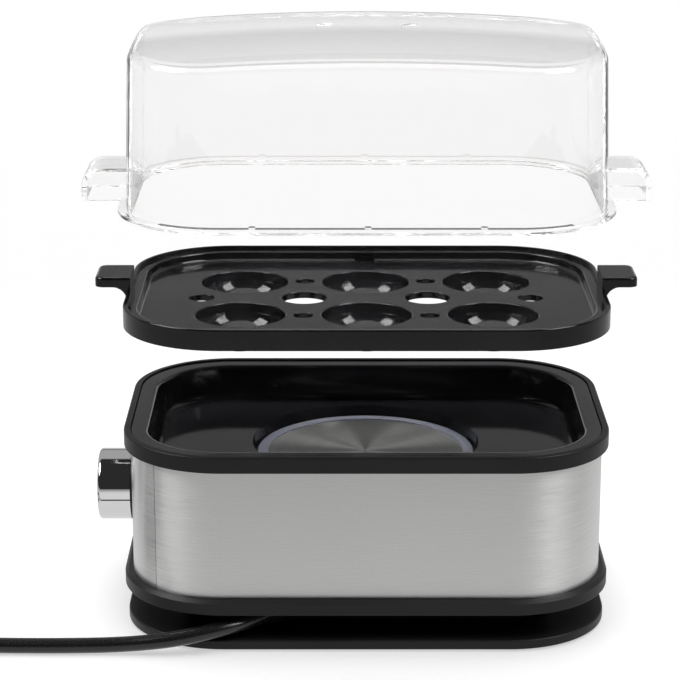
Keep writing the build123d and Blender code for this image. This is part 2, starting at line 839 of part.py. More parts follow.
def cup_profile(grow):
    """One egg cup's section, from its mouth to its middle, grown outward by a wall."""
    with BuildSketch(Plane.XZ) as section:
        with BuildLine():
            side = Polyline(
                (cup_radius + grow, tray_deck),
                (cup_step_radius + grow, tray_deck - cup_step_drop - grow / 2),
                (cup_well_radius + grow, tray_deck - cup_step_drop - grow / 2),
            )
            well = TangentArc(
                side @ 1,
                (cup_floor_radius + grow / 3, tray_deck - cup_depth - grow),
                tangent=(-0.3, -1),
            )
            Polyline(well @ 1, (0, tray_deck - cup_depth - grow), (0, tray_deck), side @ 0)
        make_face()
    return section.sketch


def handle_profile(side):
    """A tray handle's section: a flat grip above the rim on a hollowed neck."""
    low = tray_top + handle_top - handle_thickness
    with BuildSketch(Plane.XZ) as section:
        with BuildLine():
            neck = ThreePointArc(
                (side * (frame_width / 2 - tray_inset), tray_top - handle_neck_drop),
                (side * (frame_width / 2 - tray_inset + 1.6), low - 2.2),
                (side * (frame_width / 2 - tray_inset + 6), low),
            )
            Polyline(
                neck @ 1,
                (side * handle_tip, low),
                (side * handle_tip, low + handle_thickness),
                (side * handle_inner, low + handle_thickness),
                (side * handle_inner, tray_top - handle_neck_drop),
                neck @ 0,
            )
        make_face()
    return section.sketch


# One cup as a solid and its hollow
with BuildPart() as cup_body:
    revolve(cup_profile(cup_wall), axis=Axis.Z)

with BuildPart() as cup_hollow:
    revolve(cup_profile(0), axis=Axis.Z)

# Egg tray: lip and skirt, ledge for the lid, pan with six cups and steam holes, two handles
steam_holes = (
    (steam_hole_radius, steam_spots),
    (end_hole_radius, end_spots),
    (side_hole_radius, side_spots),
)
tray_foot_inset = tray_wall_inset + (tray_deck_drop - tray_ledge_drop) * tan(radians(tray_wall_draft))
with BuildPart() as egg_tray:
    wall(tray_inset, tray_inset + tray_skirt_wall, tray_top - tray_skirt_height, tray_top)
    slab(tray_inset + tray_skirt_wall, tray_deck - tray_deck_thickness, tray_ledge)
    tapered_slab(tray_foot_inset, tray_deck, tray_wall_inset, tray_ledge, Mode.SUBTRACT)
    wall(
        tray_inset + tray_skirt_wall,
        tray_wall_inset - tray_wall_thickness,
        tray_deck - tray_deck_thickness,
        tray_ledge - tray_wall_thickness,
        Mode.SUBTRACT,
    )
    wall(tray_inset + tray_lip_width, tray_inset + tray_skirt_wall, tray_ledge, tray_top, Mode.SUBTRACT)
    wall(locating_inset, locating_inset + locating_wall, tray_top - locating_drop, tray_deck)
    fillet(outline_edges(egg_tray.part, tray_foot_inset, tray_deck), tray_foot_round)
    fillet(outline_edges(egg_tray.part, tray_wall_inset, tray_ledge), tray_lip_round)
    fillet(outline_edges(egg_tray.part, tray_inset, tray_top), tray_lip_round)
    for radius, spots in steam_holes:
        rounds(radius + collar_wall, spots, tray_deck - collar_height, tray_deck)
    with Locations(*[(x, y, 0) for x, y in cup_spots]):
        add(cup_body.part)
    with Locations(*[(x, y, 0) for x, y in cup_spots]):
        add(cup_hollow.part, mode=Mode.SUBTRACT)
    for radius, spots in steam_holes:
        rounds(radius, spots, tray_deck - collar_height, tray_deck, Mode.SUBTRACT)
    mouths = egg_tray.edges().filter_by(lambda e: e.is_closed and abs((e @ 0.5).Z - tray_deck) < 0.01)
    fillet(mouths.filter_by(GeomType.CIRCLE), hole_round)
    tab_reach = frame_depth / 2 - tray_foot_inset - tab_depth / 2
    with Locations(*[(0, side * tab_reach, (tray_deck + tray_ledge) / 2) for side in (-1, 1)]):
        Box(tab_width, tab_depth + 1, tray_ledge - tray_deck)
    for side in (-1, 1):
        extrude(handle_profile(side), amount=handle_width / 2, both=True)
        outer = -1 if side > 0 else 0
        tip = egg_tray.faces().sort_by(Axis.X)[outer]
        fillet(tip.edges().filter_by(Axis.Z), handle_corner)
        grip = egg_tray.faces().filter_by(Axis.Z).group_by(Axis.Z)[-1].sort_by(Axis.X)[outer]
        rim = grip.outer_wire().edges().filter_by(lambda e: abs((e @ 0.3).X) > handle_inner + 0.1)
        fillet(rim, handle_edge)
egg_tray.part.label = "egg_tray"


def crown(drop, mode):
    """Keeps what lies under the lid's gently domed top, drawn in by a wall."""
    top = lid_top - drop
    half = frame_depth / 2
    radius = lid_crown_short - drop
    edge_level = top - radius + (radius**2 - half**2) ** 0.5
    low = lid_foot - 3 * lid_tongue
    with BuildSketch(Plane.YZ) as section:
        with BuildLine():
            dome = ThreePointArc((-half, edge_level), (0, top), (half, edge_level))
            Polyline(dome @ 1, (half, low), (-half, low), dome @ 0)
        make_face()
    revolve(section.sketch, axis=Axis((0, 0, lid_top - lid_crown_long), (0, 1, 0)), mode=mode)


def lid_inset(level, thickness=0.0):
    """How far in the lid's drafted wall stands at a level."""
    return lid_wall_inset + thickness + (level - lid_foot) * tan(radians(lid_draft))


def hood_block(inner, shrink, low, outer_round, side_round):
    """A lid handle's block on the right side, from beside the wall to its tip, rounded where it shows."""
    tip = hood_tip - shrink
    high = lid_foot + hood_high - shrink
    reach = hood_width / 2 - shrink
    with BuildPart() as block:
        with Locations(((inner + tip) / 2, 0, (low + high) / 2)):
            Box(tip - inner, 2 * reach, high - low)
        fillet(block.faces().sort_by(Axis.X)[-1].edges().sort_by(Axis.Z)[-1], outer_round)
        for end in (0, -1):
            flank = block.faces().sort_by(Axis.Y)[end]
            fillet(flank.edges().filter_by(lambda e: (e @ 0.5).Z > low and (e @ 0.5).X > inner), side_round)
    return block.part


# Clear lid: its hollow first, then the shell with flange, hollow handles, vents and pips
wall_low = lid_foot - lid_tongue
with BuildPart() as lid_hollow:
    tapered_slab(lid_inset(wall_low, lid_wall), wall_low, lid_inset(lid_top, lid_wall), lid_top)
    crown(lid_wall, Mode.INTERSECT)
    fillet(lid_hollow.faces().sort_by(Axis.Z)[-1].edges(), lid_round_inside)

lid_handle = hood_block(hood_start - lid_wall, 0, lid_foot + hood_low, hood_round, hood_side_round)
handle_room = hood_block(hood_start, hood_wall, wall_low, hood_round - hood_wall, hood_side_round / 2)
with BuildPart() as clear_lid:
    tapered_slab(lid_inset(wall_low), wall_low, lid_inset(lid_top), lid_top)
    crown(0, Mode.INTERSECT)
    fillet(clear_lid.faces().sort_by(Axis.Z)[-1].edges(), lid_round)
    slab(0, lid_foot, lid_foot + lid_flange_thickness)
    fillet(outline_edges(clear_lid.part, 0, lid_foot), lid_flange_round)
    fillet(outline_edges(clear_lid.part, 0, lid_foot + lid_flange_thickness), lid_flange_round)
    with PolarLocations(0, 2):
        add(lid_handle)
    add(lid_hollow.part, mode=Mode.SUBTRACT)
    with PolarLocations(0, 2):
        add(handle_room, mode=Mode.SUBTRACT)
    rounds(vent_radius, [(-vent_reach, 0), (vent_reach, 0)], lid_top - 2 * lid_wall, lid_top, Mode.SUBTRACT)
    pip_y = frame_depth / 2 - lid_wall_inset / 2
    pip_spots = [(pip_pitch * place, side * pip_y) for place in (-1, 0, 1) for side in (-1, 1)]
    pip_low = lid_foot + lid_flange_thickness
    rounds(pip_radius, pip_spots, pip_low, pip_low + pip_radius / 2)
clear_lid.part.label = "clear_lid"

# Strain relief: a flanged, grooved taper that holds the cord in the neck's sleeve
gland_flange_plane = axis_plane(gland_start, gland_heading)
sleeve_end = on_plan(gland_start, gland_heading, gland_flange + gland_sleeve)
with BuildPart() as cord_gland:
    with BuildSketch(gland_flange_plane):
        Circle(gland_flange_radius)
    extrude(amount=gland_flange)
    with BuildSketch(sleeve_plane):
        Circle(gland_radius)
    extrude(amount=gland_sleeve)
    taper_length = gland_length - gland_flange - gland_sleeve
    with BuildSketch(axis_plane(sleeve_end, gland_heading)):
        Circle(gland_radius)
    with BuildSketch(axis_plane(cord_start, gland_heading)):
        Circle(gland_tip_radius)
    loft()
    for place in range(1, 4):
        groove_start = on_plan(sleeve_end, gland_heading, taper_length * place / 4)
        with BuildSketch(axis_plane(groove_start, gland_heading)) as groove:
            Circle(2 * gland_radius)
            Circle(cord_diameter / 2 + gland_groove, mode=Mode.SUBTRACT)
        extrude(groove.sketch, amount=gland_groove_width, mode=Mode.SUBTRACT)
cord_gland.part.label = "cord_gland"

# Mains cord: out of the strain relief, over the bottom plate and along the surface to its coil
cord_radius = cord_diameter / 2
coil_reach = coil_inner + coil_pitch * coil_turns / 2


def coil_place(turn):
    """A point on the coil's middle line, after a number of turns from its start."""
    half = turn - coil_turns / 2
    if abs(half) >= 0.25:
        radius = coil_inner + coil_pitch * abs(half)
        rise = layer_rise if half > 0 else 0
    else:
        radius = coil_inner + coil_pitch * (2 * half**2 + 0.125)
        share = (half + 0.25) / 0.5
        rise = layer_rise * share**2 * (3 - 2 * share)
    angle = radians(coil_start_angle - 360 * turn)
    return Vector(coil_x + radius * cos(angle), coil_y + radius * sin(angle), coil_low + rise)


def coil_heading(turn):
    """The direction of the coil's middle line, after a number of turns from its start."""
    step = 0.0005
    return (coil_place(turn + step) - coil_place(turn - step)).normalized()


def biarc_joint(start, start_way, end, end_way):
    """Where two arcs that join two points smoothly meet, and their direction there."""
    span = end - start
    ways = start_way + end_way
    lean = span.dot(ways)
    spread = 2 * (1 - start_way.dot(end_way))
    reach = (-lean + (lean**2 + spread * span.dot(span)) ** 0.5) / spread
    near = start + start_way * reach
    far = end - end_way * reach
    return (near + far) * 0.5, (far - near).normalized()


coil_steps = round(coil_turns * 4)
coil_entry = coil_place(0) - coil_heading(0) * cord_diameter
coil_exit = coil_place(coil_turns) + coil_heading(coil_turns) * cord_diameter

def beyond_start(left, front, level):
    """A point to the left of the cord's start and in front of it."""
    return (cord_start[0] - left, cord_start[1] - front, level)


# The route's points from the strain relief to the coil, chosen along the cord
cord_route = [
    cord_start,
    beyond_start(6.4, 6.4, 11.6),
    beyond_start(14.9, 12.6, 11.2),
    beyond_start(26.0, 17.1, 10.0),
    beyond_start(42.9, 19.2, 6.9),
    beyond_start(66.9, 17.0, 3.7),
    beyond_start(98.5, 17.5, 3.5),
    beyond_start(133.5, 16.6, 3.5),
    tuple(coil_entry - coil_heading(0) * 22.0),
    tuple(coil_entry),
]
with BuildPart() as mains_cord:
    cord_path = tube(cord_route, cord_radius)
mains_cord.part.label = "mains_cord"

# Put-away coil: two layers of turns, in and out again at a steady rate
with BuildPart() as cord_coil:
    with BuildLine() as coil_line:
        Line(coil_entry, coil_place(0))
        for step in range(coil_steps):
            near = coil_place(step / 4)
            far = coil_place((step + 1) / 4)
            near_way = coil_heading(step / 4)
            joint, joint_way = biarc_joint(near, near_way, far, coil_heading((step + 1) / 4))
            TangentArc(near, joint, tangent=near_way)
            TangentArc(joint, far, tangent=joint_way)
        Line(coil_place(coil_turns), coil_exit)
    coil_path = coil_line.wire()
    with BuildSketch(Plane(origin=coil_path @ 0, z_dir=coil_path % 0)):
        Circle(cord_radius)
    sweep(path=coil_path)
cord_coil.part.label = "cord_coil"

# The short tail that comes down off the coil to the plug
tail_route = [
    tuple(coil_exit),
    tuple(coil_exit + coil_heading(coil_turns) * 12.0),
    (coil_exit.X + 0.9, coil_exit.Y + 26.0, coil_exit.Z - 3.2),
    (coil_exit.X + 1.3, coil_exit.Y + 38.0, plug_axis_height),
    (coil_exit.X + 1.3, coil_exit.Y + 48.0, plug_axis_height),
]
with BuildPart() as cord_tail:
    tail_path = tube(tail_route, cord_radius)
cord_tail.part.label = "cord_tail"

# Tie round the coil's bundle of turns
tie_way = radians(tie_angle)
bundle_out = coil_reach + cord_radius + tie_play
bundle_in = coil_inner + 0.25 * coil_pitch - cord_radius - tie_play
bundle_low = coil_low - cord_radius - tie_play
bundle_high = coil_low + layer_rise + cord_radius + tie_play
tie_middle = (bundle_in + bundle_out) / 2
tie_origin = (coil_x + tie_middle * cos(tie_way), coil_y + tie_middle * sin(tie_way), 0)
tie_along = (sin(tie_way), -cos(tie_way), 0)
tie_plane = Plane(origin=tie_origin, x_dir=(cos(tie_way), sin(tie_way), 0), z_dir=tie_along)
with BuildPart() as cord_tie:
    with BuildSketch(tie_plane):
        with Locations((0, (bundle_low + bundle_high) / 2)):
            tie_long = bundle_out - bundle_in
            tie_tall = bundle_high - bundle_low
            tie_round = cord_radius - 0.5
            for grow, way in ((tie_thickness, Mode.ADD), (0, Mode.SUBTRACT)):
                RectangleRounded(tie_long + 2 * grow, tie_tall + 2 * grow, tie_round + grow, mode=way)
    extrude(amount=tie_width / 2, both=True)
cord_tie.part.label = "cord_tie"

# Plug, lying on its back: body with its boot, two pins and two side contacts
plug_x = tail_route[-1][0]
boot_y = tail_route[-1][1]
plug_y = boot_y + plug_boot_length + plug_radius - 2
pin_spots = [(plug_x - pin_pitch / 2, plug_y), (plug_x + pin_pitch / 2, plug_y)]
clip_low = plug_height - earth_clip_height
clip_spots = [(plug_x, plug_y + side * (plug_radius - earth_clip_thickness / 2)) for side in (-1, 1)]
with BuildPart() as plug_body:
    rounds(plug_radius, [(plug_x, plug_y)], 0, plug_height)
    fillet(plug_body.edges().filter_by(GeomType.CIRCLE), plug_round)
    with BuildSketch(Plane(origin=(plug_x, boot_y, plug_axis_height), z_dir=(0, 1, 0))):
        Circle(plug_boot_tip)
    boot_end = (plug_x, boot_y + plug_boot_length + plug_boot_radius, plug_axis_height)
    with BuildSketch(Plane(origin=boot_end, z_dir=(0, 1, 0))):
        Circle(plug_boot_radius)
    loft()
    rounds(plug_face_radius, [(plug_x, plug_y)], plug_height - plug_face_depth, plug_height, Mode.SUBTRACT)
    for side in (-1, 1):
        groove_x = plug_x + side * (plug_radius - plug_groove_depth / 2)
        with Locations((groove_x, plug_y, plug_height - plug_groove_height / 2)):
            Box(plug_groove_depth, plug_groove_width, plug_groove_height, mode=Mode.SUBTRACT)
    for x, y in clip_spots:
        with Locations((x, y, clip_low + earth_clip_height / 2)):
            Box(earth_clip_width, earth_clip_thickness, earth_clip_height, mode=Mode.SUBTRACT)
    face_level = plug_height - plug_face_depth
    rounds(pin_radius, pin_spots, face_level - pin_hold, face_level, Mode.SUBTRACT)
    earth_spot = [(plug_x, plug_y + earth_hole_reach)]
    rounds(earth_hole_radius, earth_spot, face_level - earth_hole_depth, face_level, Mode.SUBTRACT)
plug_body.part.label = "plug_body"

with BuildPart() as plug_pins:
    rounds(pin_radius, pin_spots, face_level - pin_hold, face_level + pin_length)
    fillet(plug_pins.edges().group_by(Axis.Z)[-1], pin_round)
plug_pins.part.label = "plug_pins"

with BuildPart() as plug_earth_clips:
    for x, y in clip_spots:
        with Locations((x, y, clip_low + earth_clip_height / 2)):
            Box(earth_clip_width, earth_clip_thickness, earth_clip_height)
plug_earth_clips.part.label = "plug_earth_clips"

# Lead inside the neck: through its clamp, up through the floor and towards the terminal block
lead_end = inward(lead_bend_high, lead_end_run)
with BuildPart() as inner_lead:
    tube([gland_start, lead_bend_low, lead_bend_high, lead_end], cord_radius)
inner_lead.part.label = "inner_lead"

clamp_start = inward(gland_start, 1.0)
with BuildPart() as cord_clamp:
    with BuildSketch(axis_plane(clamp_start, gland_heading)):
        with Locations(((neck_low + rim_low) / 2 - cord_start[2], 0)):
            Rectangle(neck_height, cord_clamp_width)
        Circle(cord_radius, mode=Mode.SUBTRACT)
    extrude(amount=-cord_clamp_length)
cord_clamp.part.label = "cord_clamp"

# Terminal block on the floor
block_front = block_y - block_width / 2
block_back = block_y + block_width / 2
port_level = floor_top + block_height / 2
with BuildPart() as terminal_block:
    with Locations((block_x, block_y, port_level)):
        Box(block_length, block_width, block_height)
    chamfer(terminal_block.edges().group_by(Axis.Z)[-1], 0.8)
    with Locations((block_x, block_y)):
        with GridLocations(block_pitch, 0, 3, 1) as port_grid:
            port_places = [place.position for place in port_grid.locations]
    ports = [(place.X, place.Y) for place in port_places]
    block_top = floor_top + block_height
    rounds(block_screw_radius, ports, block_top - block_screw_depth, block_top, Mode.SUBTRACT)
terminal_block.part.label = "terminal_block"

# Wires: from the lead to the block, and from the block to the control, cut-out, element and earth
port_x = [x for x, y in ports]
spread = 2 * wire_radius + 0.3
core_way = radians(gland_heading)
with BuildPart() as supply_wires:
    for index, x in enumerate(port_x):
        side = (index - 1) * spread
        start = (lead_end[0] + side * sin(core_way), lead_end[1] - side * cos(core_way), lead_end[2])
        knee = inward(start, 4.0)
        tube([start, knee, (x, block_front - 5.0, port_level), (x, block_front, port_level)], wire_radius)
supply_wires.part.label = "supply_wires"

blade_end = control_face + control_depth + blade_length
tab_end = cutout_radius + tab_length
tab_level = clamp_top + tab_rise
block_ports = [(x, block_back, port_level) for x in port_x]
blade_ends = [(blade_end, side * blade_pitch, knob_height) for side in (-1, 1)]
tab_ends = [(side * tab_end, 0, tab_level) for side in (-1, 1)]
with BuildPart() as control_wires:
    start, end = block_ports[0], blade_ends[0]
    tube(
        [
            start,
            (start[0], start[1] + wire_stub / 2, start[2]),
            toward(start, end, 0.18, 1.3 * wire_bow),
            toward(start, end, 0.6, 1.2 * wire_bow, wire_sag),
            (end[0] + wire_stub, end[1], end[2]),
            end,
        ],
        wire_radius,
    )
    start, end = blade_ends[1], tab_ends[0]
    tube(
        [
            start,
            (start[0] + wire_stub, start[1], start[2]),
            toward(start, end, 0.44, wire_bow, -wire_sag),
            toward(start, end, 0.76, wire_bow, -1.6 * wire_sag),
            (end[0] - wire_stub / 2, end[1], end[2]),
            end,
        ],
        wire_radius,
    )
control_wires.part.label = "control_wires"

pin_end = element_level - element_drop - bead_height - terminal_height
pin_ends = [(foot.X, foot.Y, pin_end) for foot in element_ends]
under_pins = [(x, y, z - wire_stub) for x, y, z in pin_ends]
with BuildPart() as element_wires:
    start, end = block_ports[1], under_pins[0]
    tube(
        [
            start,
            (start[0], start[1] + wire_stub, start[2]),
            toward(start, end, 0.38, 1.75 * wire_bow, -0.4 * wire_sag),
            toward(start, end, 0.81, 0.8 * wire_bow, -0.6 * wire_sag),
            end,
            pin_ends[0],
        ],
        wire_radius,
    )
    start, end = tab_ends[1], under_pins[1]
    tube(
        [
            start,
            (start[0] + wire_stub / 2, start[1], start[2]),
            toward(start, end, -0.15, -wire_bow, -2 * wire_sag),
            toward(start, end, 0.35, -wire_bow, -wire_sag),
            toward(start, end, 0.8, -wire_sag, 0),
            end,
            pin_ends[1],
        ],
        wire_radius,
    )
element_wires.part.label = "element_wires"

earth_end = (clamp_boss_reach * 0.84, wire_bow * 1.83, clamp_low)
with BuildPart() as earth_wire:
    start = block_ports[2]
    end = (earth_end[0], earth_end[1], earth_end[2] - wire_bow)
    tube(
        [
            start,
            (start[0], start[1] + wire_stub, start[2]),
            toward(start, end, 0.45, wire_bow, -wire_sag / 2),
            end,
            earth_end,
        ],
        wire_radius,
    )
earth_wire.part.label = "earth_wire"

pieces = [
    steel_band,
    top_frame,
    water_bowl,
    heating_plate,
    plate_seal,
    plate_clamp,
    clamp_screws,
    heat_spreader,
    heating_element,
    element_terminals,
    boil_dry_cutout,
    thermal_fuse,
    fuse_clip,
    base_tray,
    housing_screws,
    bottom_plate,
    plate_screws,
    rubber_feet,
    control_bracket,
    bracket_screws,
    rotary_control,
    bush_nut,
    knob_ring,
    knob_shell,
    knob_core,
    control_shaft,
    egg_tray,
    clear_lid,
    terminal_block,
    cord_clamp,
    inner_lead,
    supply_wires,
    control_wires,
    element_wires,
    earth_wire,
    cord_gland,
    mains_cord,
    cord_coil,
    cord_tail,
    cord_tie,
    plug_body,
    plug_pins,
    plug_earth_clips,
]
for piece in pieces:
    export_step(piece.part, f"parts/{piece.part.label}.step")

# Measures of the cord: its bends, the tubes' volumes and the coil's least gap to itself
for name, route, path, piece in (
    ("cord", cord_route, cord_path, mains_cord),
    ("tail", tail_route, tail_path, cord_tail),
):
    print(name, "bend radii", [round(radius, 1) for radius in corner_radii(route)])
    share = piece.part.volume / (pi * cord_radius**2 * path.length)
    print(name, "length", round(path.length, 1), "volume against section times length", round(share, 4))
share = cord_coil.part.volume / (pi * cord_radius**2 * coil_path.length)
print("coil length", round(coil_path.length, 1), "volume against section times length", round(share, 4))
print("whole cord", round(cord_path.length + coil_path.length + tail_path.length, 1))
samples = [coil_path @ (index / 600) for index in range(601)]
apart = round(600 * 0.5 / (coil_turns + 0.1))
least = min((a - b).length for i, a in enumerate(samples) for b in samples[i + apart :])
print("coil's least gap to itself", round(least - cord_diameter, 2))
print("slides", round(tray_travel, 2), round(lid_travel, 2))
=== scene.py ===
"""Dresses an electric egg cooker: finishes for its parts, its mains cord, and a small photo studio."""

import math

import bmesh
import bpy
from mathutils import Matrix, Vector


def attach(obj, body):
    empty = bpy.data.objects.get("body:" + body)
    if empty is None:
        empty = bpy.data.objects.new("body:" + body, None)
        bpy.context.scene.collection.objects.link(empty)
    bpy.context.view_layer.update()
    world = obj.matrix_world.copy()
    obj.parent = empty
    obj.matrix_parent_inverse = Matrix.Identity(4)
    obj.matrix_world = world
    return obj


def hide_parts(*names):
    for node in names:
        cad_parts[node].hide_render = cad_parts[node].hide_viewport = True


bl_info = {
    "name": "Egg cooker",
    "version": (1, 0, 0),
    "blender": (4, 5, 0),
    "location": "View3D > Sidebar > Egg cooker",
    "description": "Finishes, cord and studio for an electric egg cooker built in CAD",
    "category": "Object",
}

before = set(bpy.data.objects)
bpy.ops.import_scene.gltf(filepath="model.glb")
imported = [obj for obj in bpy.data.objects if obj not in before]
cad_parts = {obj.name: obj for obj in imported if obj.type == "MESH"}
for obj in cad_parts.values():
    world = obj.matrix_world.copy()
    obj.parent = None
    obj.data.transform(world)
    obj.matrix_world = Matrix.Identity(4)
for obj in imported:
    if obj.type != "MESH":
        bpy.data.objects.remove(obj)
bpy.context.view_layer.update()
MM = 0.001


class StudioSettings(bpy.types.PropertyGroup):
    """Camera, floor and lights."""

    lens: bpy.props.FloatProperty(
        name="Lens",
        description="Focal length on a 36 mm sensor",
        default=127.06,
        unit="CAMERA",
    )
    camera_place: bpy.props.FloatVectorProperty(
        name="Camera",
        description="Where the camera stands",
        default=(-0.012, -1.0701, 0.4364),
        unit="LENGTH",
    )
    camera_pitch: bpy.props.FloatProperty(
        name="Pitch",
        description="How far the camera looks down",
        default=math.radians(16.3),
        unit="ROTATION",
    )
    floor_reach: bpy.props.FloatProperty(
        name="Floor",
        description="Radius of the pale floor",
        default=3.6,
        unit="LENGTH",
    )
    floor_color: bpy.props.FloatVectorProperty(
        name="Floor colour",
        description="Colour of the floor",
        default=(0.5, 0.5, 0.5),
        subtype="COLOR",
    )
    floor_glow: bpy.props.FloatProperty(
        name="Floor glow",
        description="Light that the near floor gives by itself",
        default=0.64,
    )
    floor_glow_far: bpy.props.FloatProperty(
        name="Far floor glow",
        description="Light that the far floor gives by itself",
        default=0.48,
    )
    floor_mirrored_near: bpy.props.FloatProperty(
        name="Near floor, mirrored",
        description="Brightness of the near floor in shiny surfaces",
        default=0.84,
    )
    floor_mirrored_far: bpy.props.FloatProperty(
        name="Far floor, mirrored",
        description="Brightness of the far floor in shiny surfaces",
        default=0.4,
    )
    horizon_glow: bpy.props.FloatProperty(
        name="Horizon",
        description="Brightness of the room behind, just above the floor",
        default=0.75,
    )
    room_behind: bpy.props.FloatProperty(
        name="Room behind",
        description="Brightness of the room behind, above the horizon",
        default=0.24,
    )
    room_high: bpy.props.FloatProperty(
        name="Room high",
        description="Brightness of the room behind, high up",
        default=0.45,
    )
    room_before: bpy.props.FloatProperty(
        name="Room before",
        description="Brightness of the room in front",
        default=0.03,
    )
    room_through: bpy.props.FloatProperty(
        name="Room, seen through",
        description="Brightness of the room seen through clear parts",
        default=0.7,
    )
    shade_reach: bpy.props.FloatProperty(
        name="Shade",
        description="How far the shade reaches round things on the floor",
        default=0.03,
        unit="LENGTH",
    )
    shade_depth: bpy.props.FloatProperty(
        name="Shade depth",
        description="Share of its own light that the floor keeps right beside things",
        default=0.85,
    )
    sky_power: bpy.props.FloatProperty(
        name="Sky light",
        description="Strength of the even light from above",
        default=2.8,
    )
    sky_spread: bpy.props.FloatProperty(
        name="Sky spread",
        description="Width of the even light",
        default=math.radians(75),
        unit="ROTATION",
    )
    side_power: bpy.props.FloatProperty(
        name="Side lights",
        description="Power of the two side lights",
        default=14.0,
        unit="POWER",
    )


class SteelSettings(bpy.types.PropertyGroup):
    """Brushed band and turned plate."""

    band_color: bpy.props.FloatVectorProperty(
        name="Band",
        description="Colour of the brushed band",
        default=(0.62, 0.62, 0.615),
        subtype="COLOR",
    )
    band_grain: bpy.props.FloatProperty(
        name="Band grain",
        description="Depth of the brushed grain",
        default=0.00002,
        unit="LENGTH",
    )
    plate_color: bpy.props.FloatVectorProperty(
        name="Plate",
        description="Colour of the heating plate",
        default=(0.6, 0.6, 0.59),
        subtype="COLOR",
    )


class PlasticSettings(bpy.types.PropertyGroup):
    """Black mouldings, silicone ring and clear lid."""

    satin_color: bpy.props.FloatVectorProperty(
        name="Satin black",
        description="Colour of the trims",
        default=(0.0145, 0.0145, 0.0152),
        subtype="COLOR",
    )
    gloss_color: bpy.props.FloatVectorProperty(
        name="Gloss black",
        description="Colour of the tray",
        default=(0.006, 0.006, 0.0066),
        subtype="COLOR",
    )
    # Painted light: the bowl's black is lighter than the tray's, to lift the shade inside the bowl
    # under the tray
    bowl_color_with_painted_light: bpy.props.FloatVectorProperty(
        name="Bowl black with painted light",
        description="Colour of the bowl",
        default=(0.032, 0.032, 0.036),
        subtype="COLOR",
    )
    ring_color: bpy.props.FloatVectorProperty(
        name="Ring",
        description="Colour of the silicone ring",
        default=(0.78, 0.8, 1.0),
        subtype="COLOR",
    )
    lid_color: bpy.props.FloatVectorProperty(
        name="Lid",
        description="Tint of the clear lid",
        default=(0.985, 0.98, 0.98),
        subtype="COLOR",
    )
    lid_ior: bpy.props.FloatProperty(
        name="Lid refraction",
        description="Index of refraction of the thin clear walls",
        default=1.035,
    )
    lid_gloss: bpy.props.FloatProperty(
        name="Lid gloss",
        description="Strength of the reflections on the clear lid",
        default=1.0,
        subtype="FACTOR",
    )


class CordSettings(bpy.types.PropertyGroup):
    """Mains cord."""

    diameter: bpy.props.FloatProperty(
        name="Diameter",
        description="Thickness of the cord",
        default=0.007,
        unit="LENGTH",
    )
    length: bpy.props.FloatProperty(
        name="Length",
        description="Whole length of the cord",
        default=1.004,
        unit="LENGTH",
    )
    color: bpy.props.FloatVectorProperty(
        name="Jacket",
        description="Colour of the cord's jacket",
        default=(0.01, 0.01, 0.0105),
        subtype="COLOR",
    )


# The part of a noise's range that its values fill
NOISE_LOW = 0.3
NOISE_HIGH = 0.7


class Nodes:
    """A node tree, with short ways to add nodes and to join them."""

    def __init__(self, tree):
        self.tree = tree

    def node(self, kind, **values):
        """A new node, with some of its properties set."""
        made = self.tree.nodes.new(kind)
        for key, value in values.items():
            setattr(made, key, value)
        return made

    def feed(self, target, source):
        """Joins an input to another node's output, or sets it to a plain value."""
        if isinstance(source, bpy.types.NodeSocket):
            self.tree.links.new(source, target)
        else:
            target.default_value = source

    def math(self, operation, *sources, clamp=False):
        """The result of a sum on numbers."""
        made = self.node("ShaderNodeMath", operation=operation, use_clamp=clamp)
        for target, source in zip(made.inputs, sources):
            self.feed(target, source)
        return made.outputs[0]

    def distance(self, vector):
        """A vector's length."""
        made = self.node("ShaderNodeVectorMath", operation="LENGTH")
        self.feed(made.inputs[0], vector)
        return made.outputs["Value"]

    def parts(self, vector):
        """A vector's X, Y and Z."""
        made = self.node("ShaderNodeSeparateXYZ")
        self.feed(made.inputs[0], vector)
        return made.outputs["X"], made.outputs["Y"], made.outputs["Z"]

    def combined(self, x, y, z=0.0):
        """A vector made of three numbers."""
        made = self.node("ShaderNodeCombineXYZ")
        for key, source in (("X", x), ("Y", y), ("Z", z)):
            self.feed(made.inputs[key], source)
        return made.outputs[0]

    def spread(self, value, low, high, start=NOISE_LOW, end=NOISE_HIGH):
        """Maps a range of one quantity to a range of another."""
        made = self.node("ShaderNodeMapRange")
        for key, number in (("From Min", start), ("From Max", end), ("To Min", low), ("To Max", high)):
            made.inputs[key].default_value = number
        self.feed(made.inputs["Value"], value)
        return made.outputs["Result"]

    def either(self, share, first, second):
        """The first shader, or the second where the share is 1."""
        made = self.node("ShaderNodeMixShader")
        for target, source in zip(made.inputs, (share, first, second)):
            self.feed(target, source)
        return made.outputs[0]


